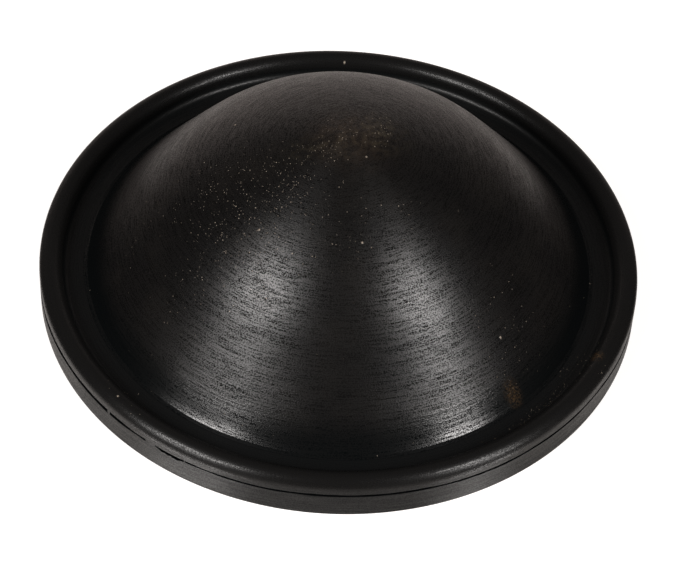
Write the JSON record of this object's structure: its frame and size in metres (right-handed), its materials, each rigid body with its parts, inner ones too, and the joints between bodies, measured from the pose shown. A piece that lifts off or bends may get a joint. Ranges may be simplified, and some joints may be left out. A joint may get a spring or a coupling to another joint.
{
  "type": "diaphragm seal",
  "caption": "Round moulded rubber diaphragm with a hollow dome, a flat plate and a full-round sealing bead along a straight-sided rim.",
  "frame": {"origin": "centre of the rim's flat underside, on the axis of the dome", "axes": "+Z along the axis of the dome, from the underside towards the crown; the part is round, so X and Y are free, and the picture looks from -Y"},
  "size_m": [0.1, 0.1, 0.0332],
  "materials": {
    "rubber": "moulded black rubber, satin, with fine turned marks from the mould"
  },
  "bodies": {
    "root": {"diaphragm": "rubber"}
  },
  "joints": []
}
